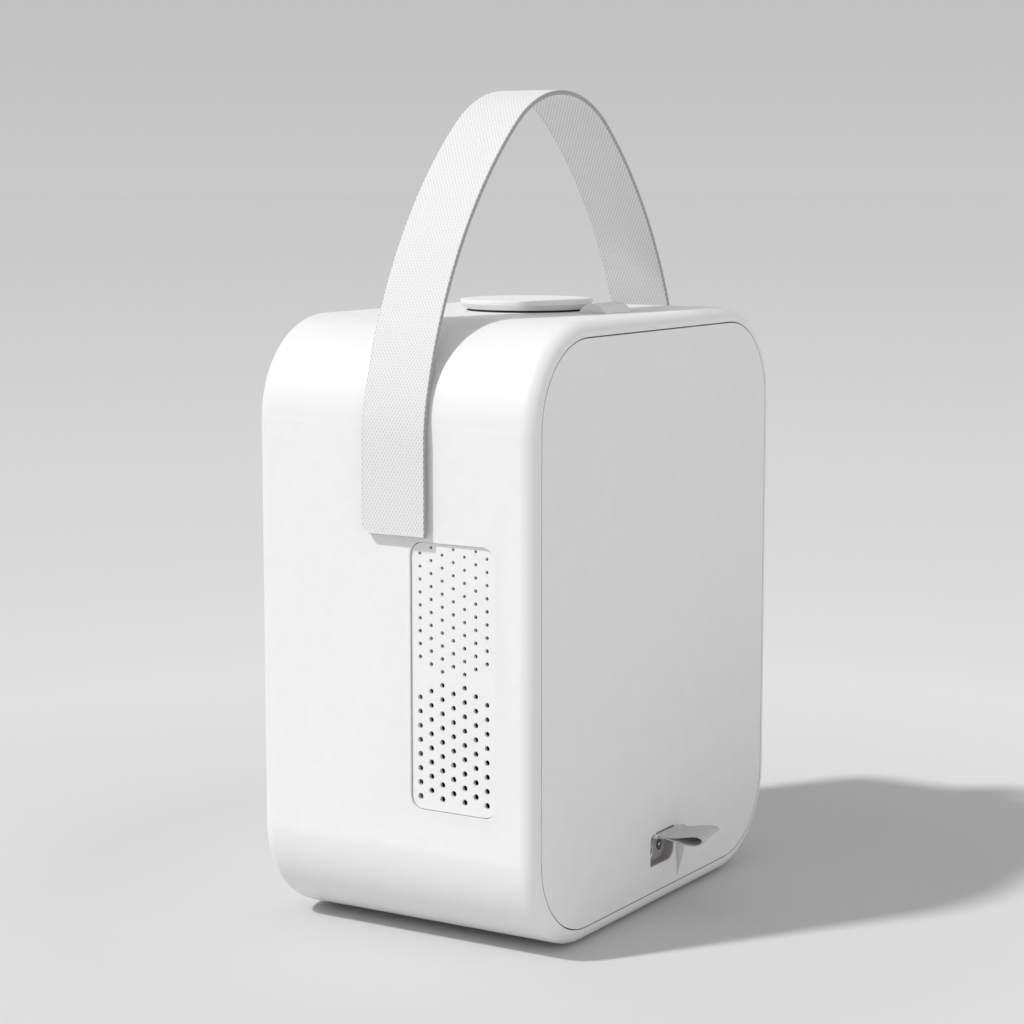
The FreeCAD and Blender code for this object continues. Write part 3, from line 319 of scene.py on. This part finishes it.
def make_piece(bm, name, slot, sharp_degrees=None):
    """Object of a finished bmesh, smooth but for edges sharper than the angle."""
    bmesh.ops.recalc_face_normals(bm, faces=bm.faces)
    mesh = bpy.data.meshes.new(name)
    bm.to_mesh(mesh)
    bm.free()
    mesh.shade_smooth()
    if sharp_degrees:
        mesh.set_sharp_from_angle(angle=math.radians(sharp_degrees))
    piece = bpy.data.objects.new(name, mesh)
    scene.collection.objects.link(piece)
    mesh.materials.append(SLOTS[slot])
    return piece


# ---------------------------------------------------------------- carry strap

STRAP_LOW, STRAP_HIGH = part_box("carry_strap")
STRAP_T = 1.8 * MM
# the arch from a leg up: radii and where each arc ends; the last arc's radius is solved
ARCH_RADII = (72.0 * MM, 165.0 * MM)
ARCH_TURNS = (math.radians(14.0), math.radians(50.0))
CHAMFER = 2.4 * MM              # of the two -Y corners at the lower ends

YARNS = 19                      # across the strap
PICK = 0.98 * MM                # one crossing yarn to the next, along the strap
ROWS_PER_PICK = 2
OUTER_PER_YARN, INNER_PER_YARN = 4, 2
CROWN_HEIGHT = 0.2 * MM
CROWN_SHARPNESS = 1.7           # above 1 the gaps are narrower than the crowns
CROWN_FADE = 1.2 * MM           # the weave flattens out over this at each end
EDGE_STEPS = 4                  # points round each edge
EDGE_ROUND = 0.55               # bulge of an edge, as a share of half the thickness
EDGE_RIPPLE = 0.015 * MM
# painted shade: the tone in the weave's gaps and on both edges of the strap, and how much the
# edges' tone ripples along the picks
GAP_SHADE_TONE, EDGE_SHADE_TONE, EDGE_SHADE_RIPPLE = 0.2, 0.09, 0.05


def strap_spans():
    """Spans of the right half as (length, centre x, centre z, radius, first angle)."""
    half_x, top = STRAP_HIGH.x, STRAP_HIGH.z
    t1, t2 = ARCH_TURNS
    r1, r2 = ARCH_RADII
    r3 = (half_x - r1 * (1 - math.cos(t1)) - r2 * (math.cos(t1) - math.cos(t2))) / math.cos(t2)
    radii, angles = (r1, r2, r3), (0.0, t1, t2, math.pi / 2)
    rise = sum(r * (math.sin(angles[i + 1]) - math.sin(angles[i])) for i, r in enumerate(radii))
    x, z = half_x, top - rise
    spans = [(z - STRAP_LOW.z, x, STRAP_LOW.z, None, 0.0)]
    for i, r in enumerate(radii):
        a0, a1 = angles[i], angles[i + 1]
        cx, cz = x - r * math.cos(a0), z - r * math.sin(a0)
        spans.append((r * (a1 - a0), cx, cz, r, a0))
        x, z = cx + r * math.cos(a1), cz + r * math.sin(a1)
    return spans


SPANS = strap_spans()
HALF_LENGTH = sum(span[0] for span in SPANS)
STRAP_LENGTH = 2 * HALF_LENGTH


def strap_point(s):
    """Point on the strap's outer face and its outward normal, s along from the +X end."""
    side, along = (1.0, s) if s <= HALF_LENGTH else (-1.0, STRAP_LENGTH - s)
    for length, x, z, radius, angle in SPANS:
        if along <= length or radius == SPANS[-1][3]:
            break
        along -= length
    if radius is None:
        return Vector((side * x, 0, z + along)), Vector((side, 0, 0))
    turn = angle + along / radius
    out = Vector((side * math.cos(turn), 0, math.sin(turn)))
    return Vector((side * x, 0, z)) + out * radius, out


def pick_wave(row):
    """The picks' rise and fall along the strap, from -1 to 1."""
    return math.cos(math.pi * row / ROWS_PER_PICK)


def weave(yarns, row):
    """Height from 0 in the gaps to 1 on the crowns of staggered yarns, yarns counted
    across the strap."""
    egg = math.cos(2 * math.pi * yarns) * pick_wave(row)
    return 1 - ((1 - egg) / 2) ** CROWN_SHARPNESS


def webbing_ring(flat):
    """One ring round the strap, as (across, depth from 0 outside to 1 inside, yarns
    across or None on an edge, side from -1 to 1)."""
    outer_n, inner_n = OUTER_PER_YARN * YARNS, INNER_PER_YARN * YARNS
    bulge = EDGE_ROUND * STRAP_T / 2
    turns = [math.pi * i / (EDGE_STEPS + 1) for i in range(1, EDGE_STEPS + 1)]
    ring = [(-flat / 2 + flat * i / outer_n, 0.0, i / OUTER_PER_YARN, 0.0)
            for i in range(outer_n + 1)]
    ring += [(flat / 2 + bulge * math.sin(turn), (1 - math.cos(turn)) / 2, None, 1.0)
             for turn in turns]
    ring += [(flat / 2 - flat * i / inner_n, 1.0, i / INNER_PER_YARN, 0.0)
             for i in range(inner_n + 1)]
    ring += [(-flat / 2 - bulge * math.sin(turn), (1 + math.cos(turn)) / 2, None, -1.0)
             for turn in turns]
    return ring


def make_webbing():
    width = STRAP_HIGH.y - STRAP_LOW.y
    middle = (STRAP_LOW.y + STRAP_HIGH.y) / 2
    rows = round(STRAP_LENGTH / PICK) * ROWS_PER_PICK
    ring = webbing_ring(width - EDGE_ROUND * STRAP_T)
    verts, painted_shade_tones, uvs = [], [], []
    for row in range(rows + 1):
        s = STRAP_LENGTH * row / rows
        point, out = strap_point(s)
        end = min(s, STRAP_LENGTH - s)
        fade = min(1.0, end / CROWN_FADE)
        cut = max(0.0, CHAMFER - end)
        for u, depth, yarns, side in ring:
            across = max(u, cut - width / 2) if cut else u
            if side:
                across += side * EDGE_RIPPLE * pick_wave(row)
                # painted shade on the edges, rippling along the picks
                lift, tone = 0.0, EDGE_SHADE_TONE + EDGE_SHADE_RIPPLE * pick_wave(row)
            else:
                height = weave(yarns, row)
                lift = CROWN_HEIGHT * (height - 1) * fade
                # painted shade in the gaps, following the weave's height
                tone = GAP_SHADE_TONE + (1 - GAP_SHADE_TONE) * height
            place = point - out * (depth * STRAP_T) + out * (lift if depth < 0.5 else -lift)
            place.y = middle + across
            verts.append(place)
            painted_shade_tones.append(tone)
            uvs.append((u / MM, s / MM))
    n = len(ring)
    faces = [(row * n + i, row * n + (i + 1) % n, (row + 1) * n + (i + 1) % n, (row + 1) * n + i)
             for row in range(rows) for i in range(n)]
    faces.append(tuple(range(n))[::-1])
    faces.append(tuple(rows * n + i for i in range(n)))
    mesh = bpy.data.meshes.new("carry_strap_webbing")
    mesh.from_pydata(verts, [], faces)
    # the painted shade tones are stored as the crown attribute
    crown = mesh.attributes.new("crown", "FLOAT", "POINT")
    crown.data.foreach_set("value", painted_shade_tones)
    layer = mesh.uv_layers.new(name="weave")
    for loop in mesh.loops:
        layer.data[loop.index].uv = uvs[loop.vertex_index]
    bm = bmesh.new()
    bm.from_mesh(mesh)
    bmesh.ops.triangulate(bm, faces=[f for f in bm.faces if len(f.verts) > 4])
    bmesh.ops.recalc_face_normals(bm, faces=bm.faces)
    bm.to_mesh(mesh)
    bm.free()
    mesh.shade_smooth()
    strap = bpy.data.objects.new("carry_strap_webbing", mesh)
    scene.collection.objects.link(strap)
    mesh.materials.append(SLOTS["strap_webbing"])
    return strap


strap = make_webbing()
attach(strap, "strap")
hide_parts("carry_strap")


# ---------------------------------------------------------------- port cover

CURVE_STEPS = 4                 # points to a span of the smoothed outlines
FLAP_AXIS = Vector((0, 53.75, 25.7)) * MM
FLAP_PLY = 0.42                 # thickness of the silicone, in millimetres
FLAP_STATIONS = 24
# past this X the strip has no bead round the pin, and starts this far out from the axis
BEAD_END_X, ROOT_START = -11.05, 1.42
BEAD_END_STEP = 0.1
# Middle of the silicone strip round one section, as (out from the axis, up) in
# millimetres: round the pin, out along the lower ply, round the loop and back.
NEAR_SECTION = [
    (-0.63, 0.0), (-0.35, -0.52), (0.2, -0.60), (0.9, -0.35), (2.0, -0.24), (3.5, -0.26),
    (6.75, -0.62), (9.2, -1.05), (11.45, -1.45), (13.6, -1.5), (15.6, -1.15), (17.1, -0.4),
    (17.85, 0.55), (17.3, 1.5), (15.9, 1.95), (14.25, 1.9), (11.6, 1.4), (9.2, 0.85),
    (6.5, 0.4), (4.0, 0.24), (2.0, 0.24), (0.9, 0.35), (0.2, 0.60), (-0.35, 0.52)]
FAR_SECTION = [
    (-0.63, 0.0), (-0.35, -0.52), (0.2, -0.60), (1.4, -0.42), (2.4, -0.36), (3.6, -0.34),
    (6.0, -0.45), (8.2, -0.45), (10.0, -0.40), (11.8, -0.30), (13.4, -0.10), (14.8, 0.25),
    (15.5, 0.85), (15.1, 1.40), (14.1, 1.62), (12.6, 1.60), (10.4, 1.35), (8.4, 1.05),
    (6.0, 0.55), (4.2, 0.22), (2.9, 0.20), (1.9, 0.60), (0.9, 0.80), (-0.35, 0.52)]


def curve_span(a, b, c, d):
    """Points from b up to c on a Catmull-Rom curve."""
    points = []
    for step in range(CURVE_STEPS):
        t = step / CURVE_STEPS
        points.append(0.5 * (2 * b + (c - a) * t + (2 * a - 5 * b + 4 * c - d) * t ** 2
                             + (3 * b - a - 3 * c + d) * t ** 3))
    return points


def smooth_loop(points):
    """Smooth curve through a closed run of points."""
    n = len(points)
    out = []
    for i in range(n):
        out += curve_span(*(Vector(points[(i + k) % n]) for k in (-1, 0, 1, 2)))
    return out


def flap_section(x, near):
    """Outer and inner outline of the strip at one x, near from 0 at -X to 1 at +X."""
    ease = near * near * (3 - 2 * near)
    middle = smooth_loop([Vector(f).lerp(Vector(n), ease)
                          for f, n in zip(FAR_SECTION, NEAR_SECTION)])
    if x < BEAD_END_X:
        middle = [Vector((max(p.x, ROOT_START), p.y)) for p in middle]
    outer, inner = [], []
    for i, p in enumerate(middle):
        along = middle[(i + 1) % len(middle)] - middle[i - 1]
        if along.length < 1e-6:
            along = Vector((0, 1))
        side = Vector((along.y, -along.x)).normalized() * FLAP_PLY / 2
        outer.append(p + side)
        inner.append(p - side)
    return outer, inner


def make_port_flap():
    low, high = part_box("port_cover")
    x0, x1 = low.x / MM, high.x / MM
    stops = [x0 + (x1 - x0) * i / FLAP_STATIONS for i in range(FLAP_STATIONS + 1)]
    stops = sorted(stops + [BEAD_END_X, BEAD_END_X - BEAD_END_STEP])
    bm = bmesh.new()
    rings = []
    for x in stops:
        section = flap_section(x, (x - x0) / (x1 - x0))
        rings.append([[bm.verts.new(FLAP_AXIS + Vector((x, p.x, p.y)) * MM) for p in outline]
                      for outline in section])
    n = len(rings[0][0])
    for i in range(n):
        j = (i + 1) % n
        for (outer, inner), (next_outer, next_inner) in zip(rings, rings[1:]):
            bm.faces.new((outer[i], outer[j], next_outer[j], next_outer[i]))
            bm.faces.new((inner[i], next_inner[i], next_inner[j], inner[j]))
        for outer, inner in (rings[0], rings[-1]):
            bm.faces.new((outer[i], inner[i], inner[j], outer[j]))
    return make_piece(bm, "port_flap", "port_rubber", sharp_degrees=50)


flap = make_port_flap()
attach(flap, "port_flap")
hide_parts("port_cover")


# The rubber leaf beside the opening, as (height, -X edge, +X edge) in millimetres
LEAF_ROWS = [(22.5, -19.3, -12.9), (20.1, -19.25, -12.95), (17.7, -18.9, -13.05),
             (15.3, -18.0, -13.2), (13.3, -16.9, -13.35), (11.3, -15.3, -13.45),
             (9.5, -14.4, -13.6), (8.3, -14.0, -13.75)]
LEAF_RIM, LEAF_CROWN = 0.2, 0.75
LEAF_CROWN_WIDTH = 4.0          # the crown is lower where the leaf is narrower than this
LEAF_CLEARANCE = 0.02           # of its underside over the cover
LEAF_COLUMNS = 16


def make_tether_leaf():
    """Leaf that lies on the cover, crowned across and thin at its rim."""
    rows = [Vector(row) for row in LEAF_ROWS]
    last = len(rows) - 1
    smooth = []
    for i in range(last):
        smooth += curve_span(rows[max(i - 1, 0)], rows[i], rows[i + 1], rows[min(i + 2, last)])
    smooth.append(rows[last])
    bm = bmesh.new()
    rings = []
    for z, x0, x1 in smooth:
        crown = LEAF_CROWN * min(1.0, (x1 - x0) / LEAF_CROWN_WIDTH)
        outline = [(x0, LEAF_CLEARANCE)]
        for i in range(LEAF_COLUMNS + 1):
            t = i / LEAF_COLUMNS
            # a full crown with its top nearer the +X edge
            out = LEAF_RIM + crown * math.sin(math.pi * t ** 1.4) ** 0.8
            outline.append((x0 + (x1 - x0) * t, out))
        outline.append((x1, LEAF_CLEARANCE))
        rings.append([bm.verts.new(Vector((x, out, z)) * MM + Vector((0, FLAP_AXIS.y, 0)))
                      for x, out in outline])
    join_rings(bm, rings)
    cap_ends(bm, rings)
    return make_piece(bm, "tether_leaf", "port_rubber", sharp_degrees=50)


leaf = make_tether_leaf()
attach(leaf, "case")
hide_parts("cover_tether")


# The plated ring's section, as (radius, out from the jack's mouth) in millimetres
JACK_RING = [(1.85, -0.1), (1.85, 0.18), (2.0, 0.28), (2.68, 0.28), (2.85, 0.2), (2.88, -0.1)]
JACK_RING_STEPS = 64


def make_jack_ring():
    """Plated ring round the audio jack's mouth, standing just out of the bay's floor."""
    low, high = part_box("audio_jack")
    centre = Vector(((low.x + high.x) / 2, high.y, (low.z + high.z) / 2))
    bm = bmesh.new()
    rings = []
    for i in range(JACK_RING_STEPS):
        turn = 2 * math.pi * i / JACK_RING_STEPS
        section = [Vector((r * math.cos(turn), out, r * math.sin(turn))) for r, out in JACK_RING]
        rings.append([bm.verts.new(centre + p * MM) for p in section])
    join_rings(bm, rings + rings[:1])
    return make_piece(bm, "audio_jack_ring", "nickel", sharp_degrees=40)


ring = make_jack_ring()
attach(ring, "case")


# ---------------------------------------------------------------- dial's return spring

SPRING_LOW, SPRING_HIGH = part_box("dial_spring")
SPRING_WIRE_R, SPRING_TURNS = 0.35 * MM, 4
STEPS_PER_TURN, WIRE_SIDES = 48, 10


def make_return_spring():
    coil_r = SPRING_HIGH.x - SPRING_WIRE_R
    bottom, top = SPRING_LOW.z + SPRING_WIRE_R, SPRING_HIGH.z - SPRING_WIRE_R
    steps = STEPS_PER_TURN * SPRING_TURNS
    bm = bmesh.new()
    rings = []
    for i in range(steps + 1):
        turn = 2 * math.pi * SPRING_TURNS * i / steps
        out = Vector((math.cos(turn), math.sin(turn), 0))
        centre = out * coil_r + Vector((0, 0, bottom + (top - bottom) * i / steps))
        rings.append([])
        for side in range(WIRE_SIDES):
            angle = 2 * math.pi * side / WIRE_SIDES
            offset = out * math.cos(angle) + Vector((0, 0, math.sin(angle)))
            rings[-1].append(bm.verts.new(centre + offset * SPRING_WIRE_R))
    join_rings(bm, rings)
    cap_ends(bm, rings)
    return make_piece(bm, "return_spring", "steel")


spring = make_return_spring()
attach(spring, "case")
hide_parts("dial_spring")
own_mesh(spring)


# ---------------------------------------------------------------- studio

FLOOR_RADIUS = 40.0
# painted light and shade: the floor's tone over the logarithm, from -1 to 1.5, of the distance in
# metres, lighter in a ring about 0.4 m out and darker near the object and far away
FLOOR_PAINTED_LIGHT_STOPS = [(0.0, 0.645), (0.09, 0.64), (0.13, 0.665), (0.19, 0.69), (0.24, 0.705),
               (0.287, 0.675), (0.33, 0.657), (0.42, 0.633), (0.525, 0.603), (0.6, 0.577),
               (0.72, 0.552), (0.8, 0.54), (1.0, 0.53)]
FLOOR_LOG_RANGE = (-1.0, 1.5)
# the sky's tone at heights from the horizon, 0, to overhead, 1
SKY_STOPS = [(0.0, 0.582), (0.07, 0.532), (0.1, 1.0), (0.25, 1.0), (0.3, 0.48), (1.0, 0.48)]
KEY_ENERGY, KEY_ANGLE = 2.32, math.radians(4.0)
KEY_DIRECTION = Vector((-1.0, 0.674, -1.40))
FILL_ENERGY, FILL_SIZE, FILL_PLACE = 4.4, 1.6, (0.4, 2.2, 0.9)
LIGHT_TARGET = Vector((0, 0, 0.1))
LENS_MM, SENSOR_MM = 87.75, 36.0
CAMERA_PLACE = (0.7454, 0.4497, 0.2515)
CAMERA_TURN = (math.radians(82.375), 0.0, math.radians(121.4355))
CLIP_NEAR, CLIP_FAR = 0.01, 200.0


def aim(direction):
    """Rotation that turns a light or camera to look along a direction."""
    return direction.to_track_quat("-Z", "Y").to_euler()


def studio_floor():
    bpy.ops.mesh.primitive_circle_add(vertices=96, radius=FLOOR_RADIUS, fill_type="NGON")
    floor = bpy.context.object
    floor.name = "studio_floor"
    g = Graph("studio_paper_painted_light")
    radius = g.add("ShaderNodeVectorMath", operation="LENGTH")
    g.link(g.coords, radius.inputs[0])
    log = g.math("LOGARITHM", g.math("MAXIMUM", radius.outputs["Value"], 0.1), 10.0)
    place = g.add("ShaderNodeMapRange")
    g.feed(place, Value=log, From_Min=FLOOR_LOG_RANGE[0], From_Max=FLOOR_LOG_RANGE[1])
    # painted light and shade over the distance from the middle
    tone = g.ramp(place.outputs["Result"], FLOOR_PAINTED_LIGHT_STOPS)
    grain = g.noise(700.0, 4.0)
    g.link(g.mix(g.spread(grain, 0.0, 0.05), tone, (0.5, 0.5, 0.5)),
           g.shader.inputs["Base Color"])
    g.shader.inputs["Roughness"].default_value = 0.85
    g.shader.inputs["Specular IOR Level"].default_value = 0.15
    g.link(g.bump(grain, 0.02 * MM), g.shader.inputs["Normal"])
    floor.data.materials.append(g.material)


def studio_sky():
    world = bpy.data.worlds.new("studio")
    scene.world = world
    world.use_nodes = True
    tree = world.node_tree
    coords = tree.nodes.new("ShaderNodeTexCoord")
    split = tree.nodes.new("ShaderNodeSeparateXYZ")
    tree.links.new(coords.outputs["Generated"], split.inputs[0])
    ramp = tree.nodes.new("ShaderNodeValToRGB")
    set_stops(ramp, SKY_STOPS)
    tree.links.new(split.outputs["Z"], ramp.inputs["Fac"])
    tree.links.new(ramp.outputs["Color"], tree.nodes["Background"].inputs["Color"])


def key_light():
    data = bpy.data.lights.new("key", "SUN")
    data.energy = KEY_ENERGY
    data.angle = KEY_ANGLE
    key = bpy.data.objects.new("key", data)
    scene.collection.objects.link(key)
    key.rotation_euler = aim(KEY_DIRECTION)


def fill_light():
    """Round area light aimed at the object, which the camera doesn't see."""
    data = bpy.data.lights.new("fill", "AREA")
    data.shape = "DISK"
    data.size = FILL_SIZE
    data.energy = FILL_ENERGY
    fill = bpy.data.objects.new("fill", data)
    scene.collection.objects.link(fill)
    fill.location = FILL_PLACE
    fill.rotation_euler = aim(LIGHT_TARGET - fill.location)
    fill.visible_camera = False


def photo_camera():
    data = bpy.data.cameras.new("camera")
    data.lens = LENS_MM
    data.sensor_width = SENSOR_MM
    data.clip_start, data.clip_end = CLIP_NEAR, CLIP_FAR
    camera = bpy.data.objects.new("camera", data)
    scene.collection.objects.link(camera)
    camera.location = CAMERA_PLACE
    camera.rotation_euler = CAMERA_TURN
    scene.camera = camera


studio_floor()
studio_sky()
key_light()
fill_light()
photo_camera()
scene.view_settings.view_transform = "Standard"
